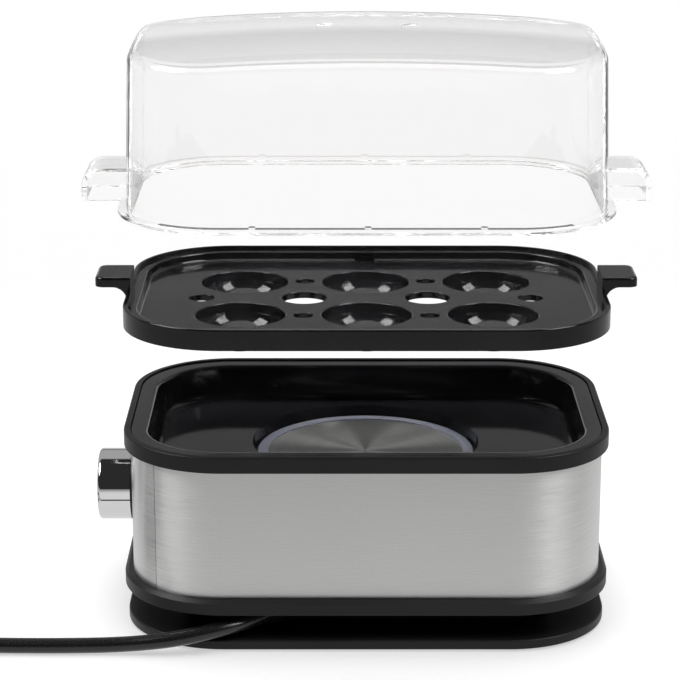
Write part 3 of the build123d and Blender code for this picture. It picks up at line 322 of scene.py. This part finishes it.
class Recipe(Nodes):
    """A material's node tree, built from a few named steps."""

    def __init__(self, name):
        self.material = bpy.data.materials.new(name)
        self.material.use_nodes = True
        super().__init__(self.material.node_tree)
        self.shader = self.tree.nodes["Principled BSDF"]
        self.where = self.node("ShaderNodeTexCoord").outputs["Object"]

    def set(self, **values):
        """Sets the shader's own sockets, named with underscores for spaces."""
        for key, value in values.items():
            if hasattr(value, "__len__") and len(value) == 3:
                value = (*value, 1.0)
            self.shader.inputs[key.replace("_", " ")].default_value = value

    def stretched(self, scale):
        """Object coordinates in metres, stretched along the axes."""
        mapping = self.node("ShaderNodeMapping")
        mapping.inputs["Scale"].default_value = scale
        self.feed(mapping.inputs["Vector"], self.where)
        return mapping.outputs["Vector"]

    def polar(self, turns, rings):
        """Coordinates round the upright axis: angle, distance and height."""
        x, y, z = self.parts(self.where)
        angle = self.math("MULTIPLY", self.math("ARCTAN2", y, x), turns)
        reach = self.math("MULTIPLY", self.distance(self.combined(x, y)), rings)
        return self.combined(angle, reach, z)

    def noise(self, vector, scale, detail=3.0, roughness=0.5, distortion=0.0):
        """A noise of a given number of features to the metre."""
        made = self.node("ShaderNodeTexNoise")
        made.inputs["Scale"].default_value = scale
        made.inputs["Detail"].default_value = detail
        made.inputs["Roughness"].default_value = roughness
        made.inputs["Distortion"].default_value = distortion
        self.feed(made.inputs["Vector"], vector)
        return made.outputs["Fac"]

    def mixed(self, first, second, share):
        """One noise with a share of another added."""
        return self.math("MULTIPLY_ADD", second, share, first)

    def tint(self, value, color, darkest, palest):
        """Colours the surface between a darker and a paler shade of one colour."""
        made = self.node("ShaderNodeValToRGB")
        shades = ((NOISE_LOW, darkest), (NOISE_HIGH, palest))
        for element, (place, factor) in zip(made.color_ramp.elements, shades):
            element.position = place
            element.color = (*(min(1.0, part * factor) for part in color), 1.0)
        self.feed(made.inputs["Fac"], value)
        self.feed(self.shader.inputs["Base Color"], made.outputs["Color"])

    def rough(self, value, low, high, start=NOISE_LOW, end=NOISE_HIGH):
        """Varies the roughness between two values."""
        self.feed(self.shader.inputs["Roughness"], self.spread(value, low, high, start, end))

    def bump(self, value, depth, strength):
        """Raises the surface by a noise, to a depth in metres."""
        made = self.node("ShaderNodeBump")
        made.inputs["Strength"].default_value = strength
        made.inputs["Distance"].default_value = depth
        self.feed(made.inputs["Height"], value)
        self.feed(self.shader.inputs["Normal"], made.outputs["Normal"])

    def brushed(self, strength):
        """Makes the surface metal, with reflections stretched across a grain round the upright axis."""
        self.set(Metallic=1.0, Anisotropic=strength, Anisotropic_Rotation=0.25)
        along = self.node("ShaderNodeTangent", direction_type="RADIAL", axis="Z")
        self.feed(self.shader.inputs["Tangent"], along.outputs[0])


def brushed_band(settings):
    """Stainless steel with a long level grain."""
    recipe = Recipe("brushed_band")
    recipe.brushed(0.8)
    grain = recipe.noise(recipe.stretched((60, 60, 4000)), scale=1.0, detail=4.0, roughness=0.65)
    cloud = recipe.noise(recipe.where, scale=9.0, detail=2.0)
    recipe.tint(recipe.mixed(grain, cloud, 0.12), settings.band_color, darkest=0.84, palest=1.16)
    recipe.rough(grain, low=0.26, high=0.44)
    recipe.bump(grain, depth=settings.band_grain, strength=0.6)
    return recipe.material


def turned_plate(settings):
    """Stainless steel turned on a lathe, with a ring grain."""
    recipe = Recipe("turned_plate")
    recipe.brushed(1.0)
    rings = recipe.noise(recipe.polar(turns=0.6, rings=3200), scale=1.0, detail=3.0, roughness=0.6)
    cloud = recipe.noise(recipe.where, scale=25.0)
    recipe.tint(recipe.mixed(rings, cloud, 0.1), settings.plate_color, darkest=0.8, palest=1.15)
    recipe.rough(rings, low=0.31, high=0.41)
    recipe.bump(rings, depth=0.00002, strength=0.5)
    return recipe.material


def satin_plastic(name, color, rough=(0.36, 0.5), grain=0.00002):
    """Moulded plastic with a fine spark-eroded texture."""
    recipe = Recipe(name)
    recipe.set(Specular_IOR_Level=0.2)
    fine = recipe.noise(recipe.where, scale=2600.0, detail=2.0)
    cloud = recipe.noise(recipe.where, scale=14.0)
    recipe.tint(cloud, color, darkest=0.85, palest=1.2)
    recipe.rough(recipe.mixed(fine, cloud, 0.4), low=rough[0], high=rough[1], start=0.4, end=1.0)
    recipe.bump(fine, depth=grain, strength=0.5)
    return recipe.material


def gloss_plastic(name, color):
    """Polished black plastic, with the faint waviness of a moulded face."""
    recipe = Recipe(name)
    recipe.set(IOR=1.42)
    wave = recipe.noise(recipe.where, scale=34.0, detail=1.0)
    haze = recipe.noise(recipe.where, scale=420.0, detail=4.0, roughness=0.6)
    recipe.tint(wave, color, darkest=0.8, palest=1.3)
    recipe.rough(haze, low=0.05, high=0.11)
    recipe.bump(wave, depth=0.00008, strength=0.25)
    return recipe.material


def silicone(name, color):
    """Pale silicone, slightly see-through at its edges."""
    recipe = Recipe(name)
    recipe.set(Subsurface_Weight=0.1, Subsurface_Scale=0.001, Specular_IOR_Level=0.5)
    cloud = recipe.noise(recipe.where, scale=60.0)
    fine = recipe.noise(recipe.where, scale=1800.0, detail=2.0)
    recipe.tint(cloud, color, darkest=0.93, palest=1.05)
    recipe.rough(fine, low=0.32, high=0.46)
    recipe.bump(fine, depth=0.00001, strength=0.5)
    return recipe.material


def plated(name, color, rough=(0.03, 0.08)):
    """Polished plating with the slightest haze."""
    recipe = Recipe(name)
    recipe.set(Metallic=1.0)
    haze = recipe.noise(recipe.where, scale=300.0, detail=4.0, roughness=0.6)
    cloud = recipe.noise(recipe.where, scale=30.0, detail=2.0)
    recipe.tint(cloud, color, darkest=0.95, palest=1.03)
    recipe.rough(haze, low=rough[0], high=rough[1])
    recipe.bump(haze, depth=0.000002, strength=0.4)
    return recipe.material


def clear_plastic(settings):
    """Clear moulded plastic with a trace of flow lines."""
    recipe = Recipe("clear_plastic")
    recipe.set(Transmission_Weight=1.0, IOR=settings.lid_ior, Base_Color=tuple(settings.lid_color))
    recipe.set(Coat_Weight=settings.lid_gloss, Coat_IOR=1.5, Coat_Roughness=0.01)
    flow = recipe.noise(recipe.stretched((5, 5, 1.5)), scale=3.0, detail=1.0)
    haze = recipe.noise(recipe.where, scale=160.0)
    recipe.rough(haze, low=0.0, high=0.02)
    recipe.bump(flow, depth=0.0004, strength=0.12)
    return recipe.material


def jacket(name, color):
    """Extruded cord jacket with fine draw marks."""
    recipe = Recipe(name)
    cloud = recipe.noise(recipe.where, scale=40.0)
    fine = recipe.noise(recipe.where, scale=1500.0, detail=2.0)
    recipe.tint(cloud, color, darkest=0.8, palest=1.25)
    recipe.rough(fine, low=0.2, high=0.3)
    recipe.bump(fine, depth=0.000015, strength=0.5)
    return recipe.material


def ceramic(name, color):
    """Unglazed ceramic, or moulded insulation, with fine specks."""
    recipe = Recipe(name)
    cloud = recipe.noise(recipe.where, scale=220.0, detail=4.0, roughness=0.7)
    fine = recipe.noise(recipe.where, scale=2400.0, detail=2.0)
    recipe.tint(cloud, color, darkest=0.88, palest=1.05)
    recipe.rough(fine, low=0.55, high=0.75)
    recipe.bump(fine, depth=0.00003, strength=0.6)
    return recipe.material


def sheet_metal(name, color, rough=(0.28, 0.45)):
    """Rolled or zinc-plated metal with a crystalline bloom."""
    recipe = Recipe(name)
    recipe.set(Metallic=1.0)
    bloom = recipe.noise(recipe.where, scale=260.0, detail=4.0, roughness=0.7, distortion=0.4)
    rolled = recipe.noise(recipe.stretched((40, 900, 900)), scale=1.0)
    recipe.tint(bloom, color, darkest=0.86, palest=1.08)
    recipe.rough(rolled, low=rough[0], high=rough[1])
    recipe.bump(rolled, depth=0.00001, strength=0.4)
    return recipe.material


def finish_nodes(material, *nodes):
    """Gives CAD parts a material."""
    for name in nodes:
        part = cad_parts[name]
        part.data.materials.clear()
        part.data.materials.append(material)


def as_piece(name, mesh, body, material):
    """Puts a finished mesh or curve into the scene, riding on a CAD body."""
    piece = bpy.data.objects.new(name, mesh)
    bpy.context.scene.collection.objects.link(piece)
    mesh.materials.append(material)
    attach(piece, body)
    return piece


# Cord route, in millimetres: where it leaves the strain relief, and its free stretch over the floor
CORD_START = (-44.5, -60.0, 11.6)
CORD_FREE = (
    (-50.9, -66.4, 11.6),
    (-59.4, -72.6, 11.2),
    (-70.5, -77.1, 10.0),
    (-87.4, -79.2, 6.9),
    (-111.4, -77.0, 3.7),
    (-143.0, -77.5, 3.5),
    (-178.0, -76.6, 3.5),
)

# Straight runs of the cord, in millimetres: towards the coil, at both its ends, and away from it
RUN_BEFORE = 22.0
RUN_BESIDE = 7.0
RUN_AFTER = 12.0

# Coil of the put-away cord, in millimetres, turns and degrees. Its climb to the upper layer
# takes this share of a turn on either side of its middle.
COIL_X = -230.0
COIL_Y = -32.0
COIL_LOW = 4.2
COIL_MIDDLE_RADIUS = 37.0
COIL_PITCH = 7.8
COIL_TURNS = 3.25
COIL_CLIMB = 0.25
COIL_START_ANGLE = -90.0
COIL_POINTS_PER_TURN = 16

# Tail from the coil to the plug, in millimetres: a step down, then level at the plug's height
TAIL_DROP = (0.9, 26.0, -3.2)
TAIL_SIDE = 1.3
TAIL_REACHES = (38.0, 48.0)
PLUG_AXIS_HEIGHT = 7.2


def coil_place(turn, swell=1.0):
    """A point on the coil's middle line, after a number of turns from its start."""
    inner = COIL_MIDDLE_RADIUS - COIL_PITCH * COIL_TURNS / 4
    half = turn - COIL_TURNS / 2
    if abs(half) >= COIL_CLIMB:
        radius = inner + COIL_PITCH * abs(half)
        rise = COIL_PITCH if half > 0 else 0.0
    else:
        radius = inner + COIL_PITCH * (half**2 / (2 * COIL_CLIMB) + COIL_CLIMB / 2)
        share = (half + COIL_CLIMB) / (2 * COIL_CLIMB)
        rise = COIL_PITCH * share**2 * (3 - 2 * share)
    angle = math.radians(COIL_START_ANGLE - 360 * turn)
    flat = Vector((math.cos(angle), math.sin(angle), 0)) * radius * swell
    return Vector((COIL_X, COIL_Y, COIL_LOW + rise)) + flat


def coil_heading(turn):
    """The direction of the coil's middle line."""
    step = 0.0005
    return (coil_place(turn + step) - coil_place(turn - step)).normalized()


def cord_points():
    """The whole cord's route: the free stretch, the coil's turns and the tail to the plug."""
    arriving = coil_heading(0)
    leaving = coil_heading(COIL_TURNS)
    entry = coil_place(0) - arriving * RUN_BESIDE
    leave = coil_place(COIL_TURNS) + leaving * RUN_BESIDE
    points = [Vector(place) for place in (CORD_START, *CORD_FREE)]
    points += [entry - arriving * RUN_BEFORE, entry]

    # The curve cuts the corners of its points, so those of the coil lie a little outside its line
    swell = 1 / math.cos(math.pi / COIL_POINTS_PER_TURN)
    for step in range(1, round(COIL_TURNS * COIL_POINTS_PER_TURN)):
        points.append(coil_place(step / COIL_POINTS_PER_TURN, swell))

    points += [leave, leave + leaving * RUN_AFTER, leave + Vector(TAIL_DROP)]
    for reach in TAIL_REACHES:
        points.append(Vector((leave.x + TAIL_SIDE, leave.y + reach, PLUG_AXIS_HEIGHT)))
    return [point * MM for point in points]


# Nearest and farthest distance that the camera shows, in metres
CAMERA_CLIP = (0.05, 40.0)

# Distances from the middle, in metres, between which the floor's own light and its mirror image change
GLOW_CHANGE = (0.22, 0.6)
MIRROR_CHANGE = (0.25, 0.65)

# The room by direction: its Y where dark turns to lit, and its Z where the lit side changes
ROOM_TURN = (0.22, 0.3)
HORIZON_END = (0.165, 0.235)
ROOM_RISE = (0.36, 0.45)

# Side lights, in metres: name, X and Y of each, then the height, aim and size of both
SIDE_LIGHTS = (("left_light", -0.96, -0.22), ("right_light", 0.96, -0.48))
SIDE_HEIGHT = 0.97
SIDE_AIM = (0, 0, 0.1)
SIDE_SIZE = (0.7, 0.6)


class EGG_OT_studio(bpy.types.Operator):
    """Makes the camera, the pale floor, the surroundings and the lights"""

    bl_idname = "egg.studio"
    bl_label = "Studio"

    def execute(self, context):
        settings = context.scene.egg_studio
        camera = bpy.data.objects.new("camera", bpy.data.cameras.new("camera"))
        camera.data.lens = settings.lens
        camera.data.sensor_width = 36.0
        camera.data.clip_start, camera.data.clip_end = CAMERA_CLIP
        camera.location = settings.camera_place
        camera.rotation_euler = (math.radians(90) - settings.camera_pitch, 0, 0)
        context.scene.collection.objects.link(camera)
        context.scene.camera = camera
        context.scene.view_settings.view_transform = "Standard"
        context.scene.view_settings.look = "None"

        context.scene.collection.objects.link(self.floor(settings))
        context.scene.world = self.room(settings)

        sky = self.lamp(context, "sky_light", "SUN", settings.sky_power)
        sky.data.angle = settings.sky_spread
        sky.visible_glossy = False
        for name, x, y in SIDE_LIGHTS:
            side = self.lamp(context, name, "AREA", settings.side_power)
            side.data.shape = "RECTANGLE"
            side.data.size, side.data.size_y = SIDE_SIZE
            place = Vector((x, y, SIDE_HEIGHT))
            side.location = place
            side.rotation_euler = (Vector(SIDE_AIM) - place).to_track_quat("-Z", "Y").to_euler()
            side.visible_diffuse = False
        return {"FINISHED"}

    def lamp(self, context, name, kind, power):
        """A lamp of some kind, linked to the scene."""
        data = bpy.data.lights.new(name, kind)
        data.energy = power
        lamp = bpy.data.objects.new(name, data)
        context.scene.collection.objects.link(lamp)
        return lamp

    def floor(self, settings):
        """A round floor with a light of its own, and with other brightness in shiny surfaces."""
        mesh = bpy.data.meshes.new("floor")
        disc = bmesh.new()
        bmesh.ops.create_circle(disc, cap_ends=True, segments=96, radius=settings.floor_reach)
        disc.to_mesh(mesh)
        disc.free()

        recipe = Recipe("floor")
        cloud = recipe.noise(recipe.where, scale=1.5, detail=2.0)
        recipe.tint(cloud, settings.floor_color, darkest=0.995, palest=1.0)
        recipe.set(Roughness=0.3, Specular_IOR_Level=0.2, Emission_Color=(1, 1, 1))
        # Painted shade: the floor's own glow dims right beside things; the glow is also higher near the
        # middle, as painted light that lifts the shadow round the cooker
        near = recipe.node("ShaderNodeAmbientOcclusion", samples=12)
        near.inputs["Distance"].default_value = settings.shade_reach
        shade = recipe.spread(near.outputs["AO"], settings.shade_depth, 1, start=0.5, end=1)
        reach = recipe.distance(recipe.where)
        own = recipe.spread(reach, settings.floor_glow, settings.floor_glow_far, *GLOW_CHANGE)
        recipe.feed(recipe.shader.inputs["Emission Strength"], recipe.math("MULTIPLY", shade, own))

        # Reflections see a plain glow, other rays the floor itself, also behind clear parts
        image = recipe.node("ShaderNodeEmission")
        levels = (settings.floor_mirrored_near, settings.floor_mirrored_far)
        recipe.feed(image.inputs["Strength"], recipe.spread(reach, *levels, *MIRROR_CHANGE))
        path = recipe.node("ShaderNodeLightPath").outputs
        glossy, through = path["Is Glossy Ray"], path["Is Transmission Ray"]
        mirrored = recipe.math("SUBTRACT", glossy, through, clamp=True)
        surface = recipe.either(mirrored, recipe.shader.outputs[0], image.outputs[0])
        recipe.feed(recipe.tree.nodes["Material Output"].inputs["Surface"], surface)

        mesh.materials.append(recipe.material)
        floor = bpy.data.objects.new("floor", mesh)
        return floor

    def room(self, settings):
        """Surroundings: dark in front, grey behind and bright along the horizon there."""
        world = bpy.data.worlds.new("room")
        world.use_nodes = True
        nodes = Nodes(world.node_tree)
        _, y, z = nodes.parts(nodes.node("ShaderNodeTexCoord").outputs["Generated"])

        horizon, behind, high = settings.horizon_glow, settings.room_behind, settings.room_high
        levels = (horizon, horizon, behind, behind, high, high)
        places = (0.0, *HORIZON_END, *ROOM_RISE, 1.0)
        lit = nodes.node("ShaderNodeValToRGB")
        while len(lit.color_ramp.elements) < len(places):
            lit.color_ramp.elements.new(0.5)
        for element, place, level in zip(lit.color_ramp.elements, places, levels):
            element.position = place
            element.color = (level, level, level, 1.0)
        nodes.feed(lit.inputs["Fac"], z)

        before, through = settings.room_before, settings.room_through
        tone = nodes.node("ShaderNodeMix", data_type="RGBA")
        nodes.feed(tone.inputs["A"], (before, before, before, 1.0))
        nodes.feed(tone.inputs["B"], lit.outputs["Color"])
        nodes.feed(tone.inputs["Factor"], nodes.spread(y, 0.0, 1.0, *ROOM_TURN))
        plain = nodes.tree.nodes["Background"]
        nodes.feed(plain.inputs["Color"], tone.outputs["Result"])

        # Clear parts show one even tone, except high up
        clear = nodes.node("ShaderNodeBackground")
        clear.inputs["Color"].default_value = (through, through, through, 1.0)
        low = nodes.math("LESS_THAN", z, ROOM_RISE[0])
        path = nodes.node("ShaderNodeLightPath").outputs
        seen = nodes.math("MULTIPLY", path["Is Transmission Ray"], low)
        surface = nodes.either(seen, plain.outputs[0], clear.outputs[0])
        nodes.feed(nodes.tree.nodes["World Output"].inputs["Surface"], surface)
        return world


class EGG_OT_cord(bpy.types.Operator):
    """Lays the mains cord from the strain relief to its coil and plug"""

    bl_idname = "egg.cord"
    bl_label = "Mains cord"

    def execute(self, context):
        settings = context.scene.egg_cord
        curve = bpy.data.curves.new("mains_lead", "CURVE")
        curve.dimensions = "3D"
        curve.bevel_depth = settings.diameter / 2
        curve.bevel_resolution = 6
        curve.resolution_u = 12
        curve.use_fill_caps = True
        points = cord_points()
        spline = curve.splines.new("NURBS")
        spline.points.add(len(points) - 1)
        for target, point in zip(spline.points, points):
            target.co = (*point, 1.0)
        spline.order_u = 3
        spline.use_endpoint_u = True
        material = jacket("cord_jacket", settings.color)
        lead = as_piece("mains_lead", curve, "base", material)
        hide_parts("mains_cord", "cord_coil", "cord_tail")
        finish_nodes(material, "inner_lead", "cord_tie")
        moulded = satin_plastic("plug_moulding", settings.color, rough=(0.42, 0.6), grain=0.00004)
        finish_nodes(moulded, "cord_gland", "plug_body")
        contact = plated("contact_plating", (0.72, 0.69, 0.62), rough=(0.12, 0.25))
        finish_nodes(contact, "plug_pins", "plug_earth_clips")
        return {"FINISHED"}


class EGG_OT_steel(bpy.types.Operator):
    """Finishes the brushed band and the turned heating plate"""

    bl_idname = "egg.steel"
    bl_label = "Steel"

    def execute(self, context):
        settings = context.scene.egg_steel
        finish_nodes(brushed_band(settings), "steel_band")
        finish_nodes(turned_plate(settings), "heating_plate")
        return {"FINISHED"}


class EGG_OT_plastic(bpy.types.Operator):
    """Finishes the black mouldings and the silicone ring"""

    bl_idname = "egg.plastic"
    bl_label = "Black mouldings"

    def execute(self, context):
        settings = context.scene.egg_plastic
        satin = satin_plastic("satin_black", settings.satin_color)
        finish_nodes(satin, "top_frame", "base_tray", "bottom_plate", "knob_ring", "knob_core")
        finish_nodes(gloss_plastic("gloss_black", settings.gloss_color), "egg_tray")
        # Painted light: the bowl gets a lighter black than the tray, lifting the shade in its hollow
        finish_nodes(gloss_plastic("bowl_black_painted_light", settings.bowl_color_with_painted_light), "water_bowl")
        finish_nodes(silicone("ring_silicone", settings.ring_color), "plate_seal")
        rubber = satin_plastic("foot_rubber", (0.02, 0.02, 0.02), rough=(0.6, 0.8), grain=0.00005)
        finish_nodes(rubber, "rubber_feet")
        return {"FINISHED"}


class EGG_OT_lid(bpy.types.Operator):
    """Finishes the clear lid"""

    bl_idname = "egg.lid"
    bl_label = "Clear lid"

    def execute(self, context):
        finish_nodes(clear_plastic(context.scene.egg_plastic), "clear_lid")
        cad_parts["clear_lid"].visible_shadow = False
        return {"FINISHED"}


class EGG_OT_knob(bpy.types.Operator):
    """Finishes the chrome knob"""

    bl_idname = "egg.knob"
    bl_label = "Knob"

    def execute(self, context):
        finish_nodes(plated("knob_plating", (0.74, 0.74, 0.745)), "knob_shell")
        return {"FINISHED"}


class EGG_OT_inner_works(bpy.types.Operator):
    """Finishes the heater, the control, the wiring and the screws inside"""

    bl_idname = "egg.inner_works"
    bl_label = "Inner works"

    def execute(self, context):
        zinc = sheet_metal("zinc_plate", (0.62, 0.63, 0.64))
        finish_nodes(
            zinc,
            "plate_clamp",
            "clamp_screws",
            "boil_dry_cutout",
            "fuse_clip",
            "housing_screws",
            "plate_screws",
            "control_bracket",
            "bracket_screws",
            "bush_nut",
            "control_shaft",
        )
        spreader = sheet_metal("spreader_metal", (0.75, 0.75, 0.77), rough=(0.3, 0.5))
        finish_nodes(spreader, "heat_spreader")
        sheath = sheet_metal("element_sheath", (0.32, 0.28, 0.25), rough=(0.35, 0.55))
        finish_nodes(sheath, "heating_element")
        finish_nodes(ceramic("beads", (0.82, 0.79, 0.72)), "element_terminals", "thermal_fuse")
        insulation = ceramic("control_moulding", (0.6, 0.55, 0.42))
        finish_nodes(insulation, "rotary_control", "terminal_block", "cord_clamp")
        brown = jacket("brown_jacket", (0.22, 0.09, 0.035))
        finish_nodes(brown, "supply_wires", "control_wires", "element_wires")
        finish_nodes(jacket("earth_jacket", (0.25, 0.4, 0.04)), "earth_wire")
        return {"FINISHED"}


OPERATORS = (
    EGG_OT_studio,
    EGG_OT_cord,
    EGG_OT_steel,
    EGG_OT_plastic,
    EGG_OT_lid,
    EGG_OT_knob,
    EGG_OT_inner_works,
)


class EGG_PT_parts(bpy.types.Panel):
    """Lists the pieces that can be made"""

    bl_label = "Egg cooker"
    bl_idname = "EGG_PT_parts"
    bl_space_type = "VIEW_3D"
    bl_region_type = "UI"
    bl_category = "Egg cooker"

    def draw(self, context):
        for operator in OPERATORS:
            self.layout.operator(operator.bl_idname)


SETTINGS = (
    ("egg_studio", StudioSettings),
    ("egg_steel", SteelSettings),
    ("egg_plastic", PlasticSettings),
    ("egg_cord", CordSettings),
)


def register():
    for name, group in SETTINGS:
        bpy.utils.register_class(group)
        setattr(bpy.types.Scene, name, bpy.props.PointerProperty(type=group))
    for operator in OPERATORS:
        bpy.utils.register_class(operator)
    bpy.utils.register_class(EGG_PT_parts)


def unregister():
    bpy.utils.unregister_class(EGG_PT_parts)
    for operator in reversed(OPERATORS):
        bpy.utils.unregister_class(operator)
    for name, group in reversed(SETTINGS):
        delattr(bpy.types.Scene, name)
        bpy.utils.unregister_class(group)


def main():
    register()
    for operator in OPERATORS:
        group, name = operator.bl_idname.split(".")
        getattr(getattr(bpy.ops, group), name)()


if __name__ == "__main__":
    main()
